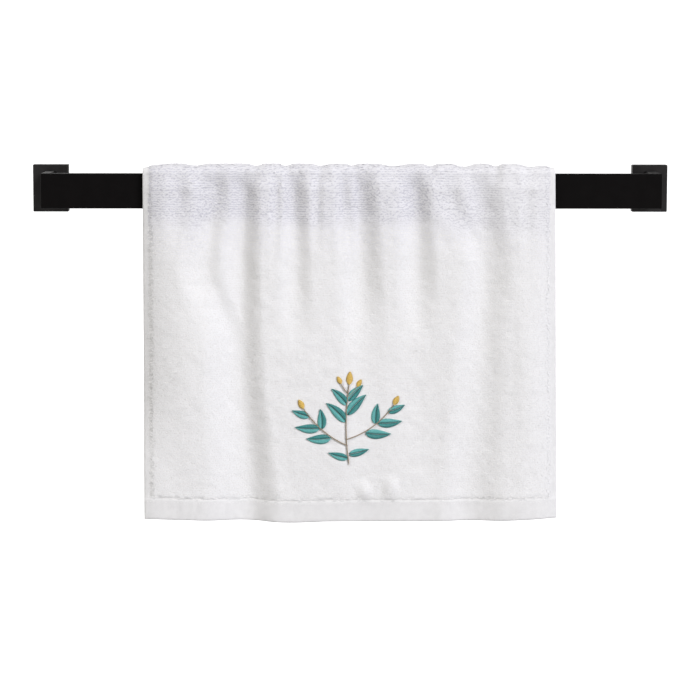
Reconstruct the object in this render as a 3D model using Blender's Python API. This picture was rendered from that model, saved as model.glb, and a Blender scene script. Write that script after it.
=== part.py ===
"""Hand towel draped over a flat towel bar that is fixed to a wall by two square plates.

Metres, +Z up, X along the bar. The wall is the plane y = 0 and the room is at -Y. The origin is on the wall,
midway between the plates and level with the middle of the bar. The towel is one closed solid: a terry length
with thin selvedges at its sides and a stitched hem at each end, hung evenly over the bar.
"""
import math
from collections import namedtuple

import bmesh
import bpy
from mathutils import Vector

MM = 0.001

# Driving dimensions of the bar
BAR_LENGTH = 0.610
BAR_HEIGHT = 0.0344
BAR_THICKNESS = 0.010
PROJECTION = 0.068  # wall to the front of the bar
PLATE_WIDTH = 0.0354
PLATE_HEIGHT = 0.0472
PLATE_THICKNESS = 0.012
EDGE_RADIUS = 0.0008
EDGE_STEPS = 2
FIT_GAP = 0.0003  # between pieces that touch

# Driving dimensions of the towel
TOWEL_LEFT = -0.2050
TOWEL_RIGHT = 0.1990  # at the bar
RIGHT_FLARE = 0.0045  # how much further right the hem reaches
FRONT_DROP = 0.3425  # top of the bar to the front hem's edge
BACK_DROP = 0.3420
TERRY_THICKNESS = 0.0045
SELVEDGE_WIDTH = 0.0055
SELVEDGE_THICKNESS = 0.0020
HEM_DEPTH = 0.0190
HEM_THICKNESS = 0.0028
PILE_STEP = 0.0016  # distance over which the pile rises beside a hem or a selvedge
EDGE_CLEARANCE = 0.002  # cloth to the bar's long edges
SIDE_DRAW = 0.038  # how far from a side the folds begin to flatten
SIDE_SHARE = 0.12  # what is left of them at the very side
CORNER_SHARE = 0.62  # the same at the front hem's left corner, which hangs clear
CORNER_LEVELS = (0.215, 0.300)  # between these distances below the bar's top it comes clear

# Mesh density of the towel
TERRY_COLUMNS = 55
FRONT_ROWS = 15
BACK_ROWS = 9
ROW_CROWDING = 1.12  # above 1, rows are closer together near the bar
ARC_STEPS = 3  # in each quarter turn round a long edge of the bar

# Heights below the bar's top at which the folds are described
LEVELS = (0.016, 0.090, 0.180, 0.325)

# Height of the fold crests at those levels, off the line of tight cloth, and over the bar's top (millimetres)
FRONT_CREST = (8.0, 10.0, 10.8, 10.5)
BACK_CREST = (3.0, 4.0, 4.6, 5.0)
TOP_CREST = 3.4

# Valleys that run down the front panel. x is the valley's line and d its depth as a share of the crest's height,
# each at the bar, upper, middle and hem levels. left and right are the half widths at the bar and spread their
# growth towards the hem. back is the share of the depth that carries on down the back panel. In millimetres.
Valley = namedtuple("Valley", "name x_bar x_upper x_middle x_hem d_bar d_upper d_middle d_hem left right spread back")
VALLEYS = (
    Valley("side_crease", -169, -171, -175, -178, 0.35, 0.02, 0.04, 0.06, 16, 14, 0.6, 0.9),
    Valley("left_crease", -134, -142, -120, -118, 0.86, 0.60, 0.10, 0.00, 27, 16, 0.5, 0.7),
    Valley("main_valley", -107, -110, -111, -103, 0.92, 0.90, 0.88, 0.90, 25, 18, 0.8, 1.0),
    Valley("short_crease", -74, -76, -78, -78, 0.36, 0.02, 0.00, 0.00, 9, 7, 0.2, 0.5),
    Valley("left_of_middle", -58, -56, -56, -56, 0.76, 0.47, 0.02, 0.00, 17, 16, 0.5, 0.6),
    Valley("faint_crease", -34, -36, -37, -37, 0.22, 0.00, 0.00, 0.00, 8, 8, 0.0, 0.4),
    Valley("side_of_middle", -8, -5, -4, -2, 0.56, 0.22, 0.00, 0.00, 11, 10, 0.6, 0.8),
    Valley("middle_valley", 7, 8, 9, 12, 0.86, 0.74, 0.16, 0.12, 14, 20, 0.9, 0.9),
    Valley("right_of_middle", 60, 63, 65, 74, 0.85, 0.60, 0.08, 0.08, 19, 19, 0.6, 0.7),
    Valley("slanting_crease", 97, 124, 124, 124, 0.30, 0.12, 0.00, 0.00, 20, 16, 0.2, 0.8),
    Valley("right_valley", 126, 132, 124, 117, 0.74, 0.61, 0.52, 0.60, 22, 24, 0.5, 1.0),
    Valley("right_crease", 172, 173, 174, 178, 0.18, 0.06, 0.00, 0.05, 11, 10, 0.3, 0.9),
)

# Dips between the puckers on top of the bar: place, depth as a share of the crest's height, and half width
Dip = namedtuple("Dip", "x depth reach")
TOP_DIPS = (
    Dip(-153, 0.62, 15),
    Dip(-94, 0.66, 10),
    Dip(-65, 0.56, 9),
    Dip(-31, 0.58, 12),
    Dip(0, 0.60, 8),
    Dip(41, 0.64, 20),
    Dip(77, 0.68, 9),
    Dip(110, 0.78, 15),
    Dip(141, 0.74, 9),
    Dip(176, 0.86, 16),
)

# Broad swells and hollows of the front panel: middle, reach each way and height (millimetres)
Swell = namedtuple("Swell", "name x below_top reach_x reach_z height")
SWELLS = (
    Swell("left_panel", -148, 200, 58, 200, 4.8),
    Swell("left_hem_corner", -204, 330, 46, 150, 2.0),
    Swell("middle_panel", -10, 250, 74, 120, 2.2),
    Swell("beside_right_valley", 110, 200, 30, 170, 1.6),
    Swell("right_panel", 176, 190, 26, 180, 1.8),
    Swell("hem_lump_left", 12, 313, 10, 14, 1.8),
    Swell("hem_lump_right", 38, 309, 11, 16, 2.0),
)

# Drop of the hem's edge beside the even drop, at places across the towel (millimetres)
Sag = namedtuple("Sag", "x lower")
FRONT_SAG = (Sag(-204, -2.2), Sag(-122, -0.6), Sag(-57, 1.4), Sag(-22, 0.2), Sag(138, 0.2), Sag(204, -1.6))
BACK_SAG = (Sag(-204, -1.5), Sag(-62, 0.5), Sag(78, -0.5), Sag(204, 1.0))

# One row of the towel's grid: its point on the line of tight cloth and the way out from the bar there, the
# distance below the bar's top, the share of the top's puckers in its folds, whether it is behind the bar, the
# cloth's thickness, and how far the inner face sinks below that line to sit on the bar
Row = namedtuple("Row", "y z out_y out_z below over behind thickness seat")


def smooth_step(t):
    """Rises softly from 0 to 1 as t does."""
    t = min(max(t, 0.0), 1.0)
    return t * t * (3.0 - 2.0 * t)


def hump(distance, reach):
    """A soft hill, 1 in the middle and 0 from reach on."""
    return 0.5 + 0.5 * math.cos(math.pi * min(abs(distance) / reach, 1.0))


def read_between(places, values, place):
    """Reads a value between named places, held past the first and the last."""
    if place <= places[0]:
        return values[0]
    for low, high, start, end in zip(places, places[1:], values, values[1:]):
        if place <= high:
            return start + (end - start) * smooth_step((place - low) / (high - low))
    return values[-1]


def sag_at(table, x):
    """How much lower than the even drop the hem's edge lies at x."""
    return MM * read_between([MM * row.x for row in table], [row.lower for row in table], x)


def valley_dip(valley, x, below, depth_scale):
    """The share of the crest's height that one valley takes away."""
    line = MM * read_between(LEVELS, (valley.x_bar, valley.x_upper, valley.x_middle, valley.x_hem), below)
    depth = read_between(LEVELS, (valley.d_bar, valley.d_upper, valley.d_middle, valley.d_hem), below)
    growth = 1.0 + valley.spread * min(max(below / LEVELS[-1], 0.0), 1.0)
    reach = MM * growth * (valley.left if x < line else valley.right)
    return depth_scale * depth * hump(x - line, reach)


def panel_lift(x, row):
    """How far the cloth of the front or back panel stands off the line of tight cloth."""
    crest = MM * read_between(LEVELS, BACK_CREST if row.behind else FRONT_CREST, row.below)
    share = 1.0
    for valley in VALLEYS:
        share -= valley_dip(valley, x, row.below, valley.back if row.behind else 1.0)
    lift = crest * max(share, 0.0)
    if not row.behind:
        for swell in SWELLS:
            near_x = hump(x - MM * swell.x, MM * swell.reach_x)
            near_z = hump(row.below - MM * swell.below_top, MM * swell.reach_z)
            lift += MM * swell.height * near_x * near_z
    return lift


def top_lift(x):
    """How far the puckers over the bar stand off the line of tight cloth."""
    share = 1.0
    for dip in TOP_DIPS:
        share -= dip.depth * hump(x - MM * dip.x, MM * dip.reach)
    return MM * TOP_CREST * max(share, 0.0)


def cloth_lift(x, row, left, right):
    """The cloth's inner face off the line of tight cloth, with the folds flattened towards the two sides."""
    lift = (1.0 - row.over) * panel_lift(x, row) + row.over * top_lift(x)
    inward = min(max(min(x - left, right - x) / SIDE_DRAW, 0.0), 1.0)
    side = inward * (2.0 - inward)
    at_side = SIDE_SHARE
    if x < (left + right) / 2 and not row.behind:
        at_side += (CORNER_SHARE - SIDE_SHARE) * read_between(CORNER_LEVELS, (0.0, 1.0), row.below)
    return lift * (at_side + (1.0 - at_side) * side)


def towel_rows():
    """The grid's rows, from the front hem's edge up over the bar and down to the back hem's edge."""
    front_y = -PROJECTION - EDGE_CLEARANCE
    back_y = -PROJECTION + BAR_THICKNESS + EDGE_CLEARANCE
    top_z = BAR_HEIGHT / 2

    def panel(drop, count, y, out_y, behind):
        """Rows of one panel from its hem's edge to the bar's top edge."""
        hem_line = drop - HEM_DEPTH
        belows = [(drop, HEM_THICKNESS), (hem_line, HEM_THICKNESS), (hem_line - PILE_STEP, TERRY_THICKNESS)]
        for step in range(1, count + 1):
            share = step / count
            belows.append(((hem_line - PILE_STEP) * (1.0 - share) ** ROW_CROWDING, TERRY_THICKNESS))
        for below, thickness in belows:
            over = 0.5 * smooth_step(1.0 - below / LEVELS[0])
            yield Row(y, top_z - below, out_y, 0.0, below, over, behind, thickness, 0.0)

    def arc(centre_y, turns, behind):
        """Rows round one of the bar's long edges."""
        for turn in turns:
            angle = turn * math.pi / 2 / ARC_STEPS
            out_y, out_z = math.cos(angle), math.sin(angle)
            over = 0.5 + 0.5 * min(turn, 2 * ARC_STEPS - turn) / ARC_STEPS
            yield Row(
                centre_y + EDGE_CLEARANCE * out_y,
                top_z + EDGE_CLEARANCE * out_z,
                out_y, out_z, 0.0, over, behind, TERRY_THICKNESS, 0.0,
            )

    front_edge, back_edge = -PROJECTION, -PROJECTION + BAR_THICKNESS
    rows = list(panel(FRONT_DROP, FRONT_ROWS, front_y, -1.0, False))
    rows += list(arc(front_edge, range(2 * ARC_STEPS - 1, ARC_STEPS - 1, -1), False))
    rows.append(Row((front_edge + back_edge) / 2, top_z + EDGE_CLEARANCE, 0.0, 1.0, 0.0, 1.0, False,
                    TERRY_THICKNESS, EDGE_CLEARANCE - FIT_GAP))
    rows += list(arc(back_edge, range(ARC_STEPS, 0, -1), True))
    rows += list(panel(BACK_DROP, BACK_ROWS, back_y, 1.0, True))[::-1]
    return rows


def towel_columns():
    """Each column: its share of the way across the terry, its distance in from a side, and whether it is thin."""
    columns = [(0.0, 0.0, True), (0.0, SELVEDGE_WIDTH, True)]
    for step in range(TERRY_COLUMNS + 1):
        columns.append((step / TERRY_COLUMNS, None, False))
    return columns + [(1.0, -SELVEDGE_WIDTH, True), (1.0, 0.0, True)]


def towel_point(column, row, outer):
    """A point of the towel's inner or outer face."""
    share, inset, thin = column
    flare = RIGHT_FLARE * row.below / FRONT_DROP
    left, right = TOWEL_LEFT, TOWEL_RIGHT + flare
    terry_left, terry_right = left + SELVEDGE_WIDTH + PILE_STEP, right - SELVEDGE_WIDTH - PILE_STEP
    if thin:
        x = (left if share == 0.0 else right) + inset
    else:
        x = terry_left + share * (terry_right - terry_left)
    drop = BACK_DROP if row.behind else FRONT_DROP
    lower = sag_at(BACK_SAG if row.behind else FRONT_SAG, x) * row.below / drop

    lift = cloth_lift(x, row, left, right)
    thickness = min(row.thickness, SELVEDGE_THICKNESS) if thin else row.thickness
    offset = lift + (TERRY_THICKNESS - thickness) / 2
    if outer:
        offset += thickness
    else:
        offset -= row.seat
    return Vector((x, row.y + row.out_y * offset, row.z - lower + row.out_z * offset))


def clear_scene():
    for item in list(bpy.data.objects):
        bpy.data.objects.remove(item, do_unlink=True)


def make_material(name, colour, roughness, metallic=0.0):
    material = bpy.data.materials.new(name)
    material.use_nodes = True
    shader = material.node_tree.nodes["Principled BSDF"]
    shader.inputs["Base Color"].default_value = (*colour, 1.0)
    shader.inputs["Roughness"].default_value = roughness
    shader.inputs["Metallic"].default_value = metallic
    return material


def add_object(name, mesh, material):
    mesh.materials.append(material)
    item = bpy.data.objects.new(name, mesh)
    bpy.context.collection.objects.link(item)
    return item


def make_block(name, centre, size, material):
    """A rectangular metal piece with softened edges, centred on its own origin."""
    shape = bmesh.new()
    bmesh.ops.create_cube(shape, size=1.0)
    bmesh.ops.scale(shape, vec=Vector(size), verts=shape.verts)
    mesh = bpy.data.meshes.new(name)
    shape.to_mesh(mesh)
    shape.free()
    block = add_object(name, mesh, material)
    block.location = centre
    softened = block.modifiers.new("softened_edges", "BEVEL")
    softened.width = EDGE_RADIUS
    softened.segments = EDGE_STEPS
    return block


def make_towel(material):
    """The towel as one closed solid: an inner and an outer grid joined round their rim."""
    rows, columns = towel_rows(), towel_columns()
    shape = bmesh.new()
    inner = [[shape.verts.new(towel_point(c, r, False)) for c in columns] for r in rows]
    outer = [[shape.verts.new(towel_point(c, r, True)) for c in columns] for r in rows]
    for i in range(len(rows) - 1):
        for j in range(len(columns) - 1):
            shape.faces.new((outer[i][j], outer[i][j + 1], outer[i + 1][j + 1], outer[i + 1][j]))
            shape.faces.new((inner[i][j], inner[i + 1][j], inner[i + 1][j + 1], inner[i][j + 1]))
        for j, flip in ((0, False), (len(columns) - 1, True)):
            rim = (inner[i][j], outer[i][j], outer[i + 1][j], inner[i + 1][j])
            shape.faces.new(rim[::-1] if flip else rim)
    for i, flip in ((0, True), (len(rows) - 1, False)):
        for j in range(len(columns) - 1):
            rim = (inner[i][j], outer[i][j], outer[i][j + 1], inner[i][j + 1])
            shape.faces.new(rim[::-1] if flip else rim)
    bmesh.ops.recalc_face_normals(shape, faces=shape.faces)
    mesh = bpy.data.meshes.new("towel")
    shape.to_mesh(mesh)
    shape.free()
    mesh.shade_smooth()
    mesh.set_sharp_from_angle(angle=math.radians(50))
    return add_object("towel", mesh, material)


def make_bar(material):
    """The flat bar, and at each end the return that carries it and the square plate on the wall."""
    bar_middle = -PROJECTION + BAR_THICKNESS / 2
    make_block("bar", (0.0, bar_middle, 0.0), (BAR_LENGTH, BAR_THICKNESS, BAR_HEIGHT), material)
    return_front = -PROJECTION + BAR_THICKNESS + FIT_GAP
    return_back = -PLATE_THICKNESS - FIT_GAP
    for side, sign in (("left", -1), ("right", 1)):
        x = sign * (BAR_LENGTH - BAR_THICKNESS) / 2
        make_block(
            f"return_{side}",
            (x, (return_front + return_back) / 2, 0.0),
            (BAR_THICKNESS, return_back - return_front, BAR_HEIGHT),
            material,
        )
        plate_size = (PLATE_WIDTH, PLATE_THICKNESS, PLATE_HEIGHT)
        make_block(f"plate_{side}", (x, -PLATE_THICKNESS / 2, 0.0), plate_size, material)


def main():
    clear_scene()
    make_bar(make_material("black_metal", (0.012, 0.011, 0.011), 0.42, 0.2))
    make_towel(make_material("white_terry", (0.80, 0.79, 0.80), 0.95))


main()
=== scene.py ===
"""Looks of the hand towel on its flat towel bar.

The towel's solid is replaced by a finer sheet on the same folds, with looped pile, hem stitching and an
embroidered sprig on it. The bar, its returns and its plates stay as packed and get a black coat.
Metres, +Z up, wall at y = 0.
"""

import math
from collections import namedtuple

import bpy
import numpy as np
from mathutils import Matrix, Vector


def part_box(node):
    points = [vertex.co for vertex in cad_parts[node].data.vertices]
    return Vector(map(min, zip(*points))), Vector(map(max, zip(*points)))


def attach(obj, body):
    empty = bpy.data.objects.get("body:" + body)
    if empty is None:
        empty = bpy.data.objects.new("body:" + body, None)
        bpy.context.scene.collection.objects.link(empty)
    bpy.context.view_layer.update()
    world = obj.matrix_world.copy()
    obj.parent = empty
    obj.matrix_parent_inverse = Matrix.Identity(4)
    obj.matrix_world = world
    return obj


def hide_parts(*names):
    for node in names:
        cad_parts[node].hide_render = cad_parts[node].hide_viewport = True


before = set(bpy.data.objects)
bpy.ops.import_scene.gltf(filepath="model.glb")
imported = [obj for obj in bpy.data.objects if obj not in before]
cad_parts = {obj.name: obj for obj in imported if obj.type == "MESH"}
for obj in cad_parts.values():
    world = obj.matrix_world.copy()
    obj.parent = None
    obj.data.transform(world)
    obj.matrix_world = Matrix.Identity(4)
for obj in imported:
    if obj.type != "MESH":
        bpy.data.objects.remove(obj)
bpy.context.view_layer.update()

MM = 0.001
BODY = "root"

# The bar, as packed
bar_low, bar_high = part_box("bar")
PROJECTION = -bar_low[1]
BAR_THICKNESS = bar_high[1] - bar_low[1]
BAR_TOP = bar_high[2]

# The towel, as in the part's source
TOWEL_LEFT = -0.2050
TOWEL_RIGHT = 0.1990
RIGHT_FLARE = 0.0045  # how far the right side moves out down to the hems
FRONT_DROP = 0.3425
BACK_DROP = 0.3420
TERRY_THICKNESS = 0.0045
SELVEDGE_THICKNESS = 0.0018
HEM_DEPTH = 0.0190
EDGE_CLEARANCE = 0.002  # from the bar's long edges to tight cloth
TOP_SHARE = 0.7  # mean height of the puckers over the bar, as a share of their crests' height
SIDE_DRAW = 0.038  # width over which the folds flatten towards the towel's sides
SIDE_SHARE = 0.12  # how much of their height is left at the sides
CORNER_SHARE = 0.62  # the same at the front hem's left corner, which hangs clear
CORNER_LEVELS = (0.215, 0.300)  # between these distances below the bar's top it comes clear

# Distances below the bar's top, and how high the folds' crests stand there and over the bar, in millimetres
LEVELS = (0.016, 0.090, 0.180, 0.325)
FRONT_CREST = (8.0, 10.0, 10.8, 10.5)
BACK_CREST = (3.0, 4.0, 4.6, 5.0)
TOP_CREST = 3.4

# Valleys down the front panel, in millimetres: the line and the share of depth at the bar, upper, middle
# and hem levels, the half widths at the bar and their growth, and the share that goes on down the back
Valley = namedtuple(
    "Valley", "name x_bar x_upper x_middle x_hem d_bar d_upper d_middle d_hem left right spread back")
VALLEYS = (
    Valley("side_crease", -169, -171, -175, -178, 0.35, 0.02, 0.04, 0.06, 16, 14, 0.6, 0.9),
    Valley("left_crease", -134, -142, -120, -118, 0.86, 0.60, 0.10, 0.00, 27, 16, 0.5, 0.7),
    Valley("main_valley", -107, -110, -111, -103, 0.92, 0.90, 0.88, 0.90, 25, 18, 0.8, 1.0),
    Valley("short_crease", -74, -76, -78, -78, 0.36, 0.02, 0.00, 0.00, 9, 7, 0.2, 0.5),
    Valley("left_of_middle", -58, -56, -56, -56, 0.76, 0.47, 0.02, 0.00, 17, 16, 0.5, 0.6),
    Valley("faint_crease", -34, -36, -37, -37, 0.22, 0.00, 0.00, 0.00, 8, 8, 0.0, 0.4),
    Valley("side_of_middle", -8, -5, -4, -2, 0.56, 0.22, 0.00, 0.00, 11, 10, 0.6, 0.8),
    Valley("middle_valley", 7, 8, 9, 12, 0.86, 0.74, 0.16, 0.12, 14, 20, 0.9, 0.9),
    Valley("right_of_middle", 60, 63, 65, 74, 0.85, 0.60, 0.08, 0.08, 19, 19, 0.6, 0.7),
    Valley("slanting_crease", 97, 124, 124, 124, 0.30, 0.12, 0.00, 0.00, 20, 16, 0.2, 0.8),
    Valley("right_valley", 126, 132, 124, 117, 0.74, 0.61, 0.52, 0.60, 22, 24, 0.5, 1.0),
    Valley("right_crease", 172, 173, 174, 178, 0.18, 0.06, 0.00, 0.05, 11, 10, 0.3, 0.9),
)

# Dips between the puckers on top of the bar: place and half width in millimetres, depth as a share
Dip = namedtuple("Dip", "x depth reach")
TOP_DIPS = (
    Dip(-153, 0.62, 15),
    Dip(-94, 0.66, 10),
    Dip(-65, 0.56, 9),
    Dip(-31, 0.58, 12),
    Dip(0, 0.60, 8),
    Dip(41, 0.64, 20),
    Dip(77, 0.68, 9),
    Dip(110, 0.78, 15),
    Dip(141, 0.74, 9),
    Dip(176, 0.86, 16),
)

# Broad swells of the front panel: middle, reach each way and height in millimetres
Swell = namedtuple("Swell", "name x below_top reach_x reach_z height")
SWELLS = (
    Swell("left_panel", -148, 200, 58, 200, 4.8),
    Swell("left_hem_corner", -204, 330, 46, 150, 2.0),
    Swell("middle_panel", -10, 250, 74, 120, 2.2),
    Swell("beside_right_valley", 110, 200, 30, 170, 1.6),
    Swell("right_panel", 176, 190, 26, 180, 1.8),
    Swell("hem_lump_left", 12, 313, 10, 14, 1.8),
    Swell("hem_lump_right", 38, 309, 11, 16, 2.0),
)

# How much lower than the even drop the hems' edges lie, in millimetres
Sag = namedtuple("Sag", "x lower")
FRONT_SAG = (Sag(-204, -2.2), Sag(-122, -0.6), Sag(-57, 1.4), Sag(-22, 0.2), Sag(138, 0.2), Sag(204, -1.6))
BACK_SAG = (Sag(-204, -1.5), Sag(-62, 0.5), Sag(78, -0.5), Sag(204, 1.0))

# Random hills: about how wide they are, and their seed
Hills = namedtuple("Hills", "size seed")
CLOTH_HILLS = Hills(0.011, 3)
FINE_HILLS = Hills(CLOTH_HILLS.size / 2.3, 4)
PILE_EDGE_HILLS = Hills(0.0034, 5)
CLUMPS = Hills(0.0052, 21)
BROAD_CLUMPS = Hills(0.021, 22)
ROW_PATCHES = Hills(0.019, 23)
RUFFLE_HILLS = Hills(0.030, 24)
CLOTH_HILLS_HEIGHT = 0.00022
FINE_HILLS_SHARE = 0.6  # how high the fine hills are beside the others

# The sheet under the pile: its outer and inner faces, off the inner face of the solid
ROOT = 0.0036
LINING = 0.0006
SHEET_STEP = 0.0029
HEM_THICKNESS = 0.0031  # a little more than the solid's
HEM_FADE = 0.0044  # over which the hem thins into the ground under the pile
ROLLED_EDGE = 0.0009  # over which the sheet's edges are rounded
ROLLED_SHARE = 0.25  # and how much of the thickness is left at the very edge
# Closer rows at the hems and columns at the sides, in millimetres from the edge, and where even ones start
HEM_ROWS = (0.0, 0.4, 0.9, 3.0, 6.0, 9.0, 12.0, 15.0, 18.0, 18.8, 19.6, 20.3, 21.0)
SIDE_COLUMNS = (0.0, 0.3, 0.9, 2.4, 3.8, 5.0, 6.2, 7.6)
EVEN_ROWS_START = HEM_DEPTH + 0.0028
EVEN_COLUMNS_GAP = 0.0006

# The pile
PILE_START = 0.0038  # from the towel's sides to where the pile begins to rise
PILE_SLOPE = 0.0062
HEM_SLOPE = 0.0052
PILE_RISE = 0.0011  # how far the loops stand over their root
EDGE_STRAY = 0.0008  # how uneven the line is where the pile begins
FLAT_WOVEN = 0.4  # where the pile is less full than this, the sheet shows its flat weave
PILE_LEAST = 0.15  # and where it is less full than this, no loops stand
LATTICE_SEED, LOOP_SEED = 11, 12
LOOP_PITCH = 0.00228
LOOP_STRAY = 0.38  # how far the loops stand off their lattice, in pitches
SIDE_MARGIN = 0.0010  # from where the pile begins to the loops
HEM_MARGIN = 0.0008
ROW_ORDER = 0.55  # how much straighter the loops lie where they keep their rows
ROW_CONTRAST = 1.1  # how sharply those places end
LOOP_WIDTH = 0.0031
WIDTH_STRAY = 0.2
LOOP_HEIGHT = 0.0003
RUFFLED_HEIGHT = 0.0006  # where the pile is bent open over the bar
HEIGHT_STRAY = 0.16
CLUMP_RISE, BROAD_CLUMP_RISE = 0.14, 0.08  # how much higher or lower clumps of loops stand
EDGE_HEIGHT = 0.3  # how high the loops stand where the pile begins, beside the others
ROOT_SINK = 0.0002  # how deep their feet lie in the sheet
LOOP_SPIN = 0.35  # how far the loops turn out of their rows, in radians
SIDE_LEAN, WIDTH_LEAN = 0.26, 0.18  # how far they lean over and along their width
RUFFLED_LEAN = 0.6  # how much farther they lean where they are ruffled
LOOP_ARCH = (-90.0, 0.0, 90.0)  # places round a loop, in degrees from its top
LOOP_SIDES = 3
LOOPS_A_PIECE = 14000
YARN_RADIUS = 0.00045
YARN_STRAY = 0.15
YARN_SPREAD = 2.3  # how much wider than high the yarn lies
FULL_SPREAD = 2.8  # the same where the pile is ruffled, on the crests
OPEN_SPREAD = 1.65  # and in the folds, where the pile parts
YARN_SOFTNESS = 0.96  # how far the loops are lit as the cloth under them, since yarn lets light through
RUFFLED_SOFTNESS = 0.93

# The ruffled pile: how far it reaches below the bar's top, and how uneven and how soft its end is
RUFFLE_REACH = 0.050
RUFFLE_STRAY = 0.008
RUFFLE_FADE = 0.012
RIGHT_CALM = (0.06, 0.17)  # places across the towel between which it grows calmer
RIGHT_LESS = 0.3  # by this share
RIGHT_REACH = 0.010  # while it reaches lower by this
CREST_ROUGH = 0.55  # how ruffled the crests stay
PARTED_ROUGH = 1.3  # how fast that grows as the pile parts
FOLD_PARTING = 1.6  # how fast the pile parts with the depth of a fold
LEFT_PARTING = 0.35  # how far it is parted on the towel's left, where all is ruffled
CALM_CRESTS = (-0.130, -0.100)  # places between which that ends

# The painted shade of the ruffled pile, a darker and bluer white: the heights where it starts on the loops
# and on the ground and where it is full, how uneven its edge is, and how much of it is left at the right
LOOPS_SHADE_START, GROUND_SHADE_START = -0.082, -0.042
SHADE_FULL = -0.020
SHADE_STRAY, BROAD_SHADE_STRAY = 0.014, 0.020
RIGHT_SHADE = 0.6

# The embroidered sprig's middle and its thread
SPRIG_X = -0.004
SPRIG_Z = -0.2218
THREAD_PITCH = 0.00046
THREAD_RADIUS = 0.00027
THREAD_FLATNESS = 0.8  # how high the thread lies for its width
THREAD_SIDES = 5
STITCH_RINGS = 5

# The hems' lock stitches
HEM_STITCH_SEED = 31
HEM_STITCH_PITCH = 0.0030
HEM_STITCH_LENGTH = 0.0023
HEM_STITCH_LINE = 0.0016  # from the pile's edge to their line
HEM_STITCH_STRAY = 0.00012
HEM_STITCH_START, HEM_STITCH_END = 0.002, 0.004  # from the towel's sides
HEM_STITCH_HIGH, HEM_STITCH_WIDE = 0.00022, 0.00026  # radii of their thread
HEM_STITCH_SINK = 0.00030  # how deep their ends lie in the cloth
HEM_STITCH_ARCH = 0.00022  # how much higher their middles lie

# The camera stands a little above the bar and looks down on the towel's middle
CAMERA_PLACE = (-0.058, -2.700, 0.140)
CAMERA_YAW = 1.21
CAMERA_PITCH = 6.43
CAMERA_ROLL = -0.10
CAMERA_LENS = 138.0
CAMERA_SENSOR = 36.0
FLOOR_Z = -1.30
FLOOR_SIZE = 80.0
SKY_LIGHT = 0.14
HORIZON_LIGHT = 1.15
HORIZON_EDGES = (0.04, 0.14)  # heights of a direction, out of 1, between which its light falls to the sky's
# Soft suns: bearing from the front, towards the right, height and spread in degrees, strength and colour
Sun = namedtuple("Sun", "name bearing height spread strength colour")
SUNS = (
    Sun("right", 45.0, 26.0, 26.0, 2.95, (0.982, 0.985, 1.022)),
    Sun("left", -55.0, 26.0, 26.0, 1.15, (1.012, 0.992, 0.930)),
    Sun("behind", 200.0, 34.0, 40.0, 1.9, (1.0, 0.99, 0.98)),
)


# ---------------------------------------------------------------- shape of the hung cloth

def smooth_step(t):
    t = np.clip(t, 0.0, 1.0)
    return t * t * (3.0 - 2.0 * t)


def hump(distance, reach):
    """A soft hill, 1 in the middle and 0 from reach on."""
    return 0.5 + 0.5 * np.cos(math.pi * np.minimum(np.abs(distance) / reach, 1.0))


def read_between(places, values, place):
    """Reads values between named places, held past the first and the last."""
    found = np.full(np.shape(place), float(values[0]))
    for low, high, start, end in zip(places, places[1:], values, values[1:]):
        between = start + (end - start) * smooth_step((place - low) / (high - low))
        found = np.where(place > low, between, found)
    return found


def soft_noise(across, along, hills):
    """Random hills, from -1 to 1."""
    cells = 61
    heights = np.random.default_rng(hills.seed).uniform(-1.0, 1.0, (cells, cells))
    i, j = np.floor(across / hills.size).astype(int), np.floor(along / hills.size).astype(int)
    u, v = smooth_step(across / hills.size - i), smooth_step(along / hills.size - j)

    def corner(a, b):
        return heights[(i + a) % cells, (j + b) % cells]

    low = corner(0, 0) * (1 - u) + corner(1, 0) * u
    high = corner(0, 1) * (1 - u) + corner(1, 1) * u
    return low * (1 - v) + high * v


ARC = math.pi / 2 * (EDGE_CLEARANCE + TERRY_THICKNESS + TOP_CREST * MM * TOP_SHARE)
OVER_START = FRONT_DROP
OVER_END = FRONT_DROP + 2 * ARC + BAR_THICKNESS
PATH_END = OVER_END + BACK_DROP


def stations(path):
    """Where places along the cloth lie, counted from the front hem's edge over the bar to the back hem's.

    Gives the point on the line of tight cloth, the way out from the bar, the distance below the bar's top,
    the share of the top's puckers and whether the place is behind the bar.
    """
    arc_in = np.clip((path - OVER_START) / ARC, 0.0, 1.0)
    flat = np.clip(path - OVER_START - ARC, 0.0, BAR_THICKNESS)
    arc_out = np.clip((path - OVER_START - ARC - BAR_THICKNESS) / ARC, 0.0, 1.0)
    angle = math.pi - (arc_in + arc_out) * math.pi / 2
    out_y, out_z = np.cos(angle), np.sin(angle)
    below = np.maximum(OVER_START - path, 0.0) + np.maximum(path - OVER_END, 0.0)
    on_panel = 0.5 * smooth_step(1.0 - below / LEVELS[0])
    over = np.where(below > 0, on_panel, 0.5 + 0.5 * np.minimum(arc_in, 1.0 - arc_out))
    y = -PROJECTION + flat + EDGE_CLEARANCE * out_y
    z = BAR_TOP + EDGE_CLEARANCE * out_z - below
    return y, z, out_y, out_z, below, over, arc_out > 0


def crest_height(below, behind):
    """How high a panel's crests stand, in millimetres."""
    back = read_between(LEVELS, BACK_CREST, below)
    return np.where(behind, back, read_between(LEVELS, FRONT_CREST, below))


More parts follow.
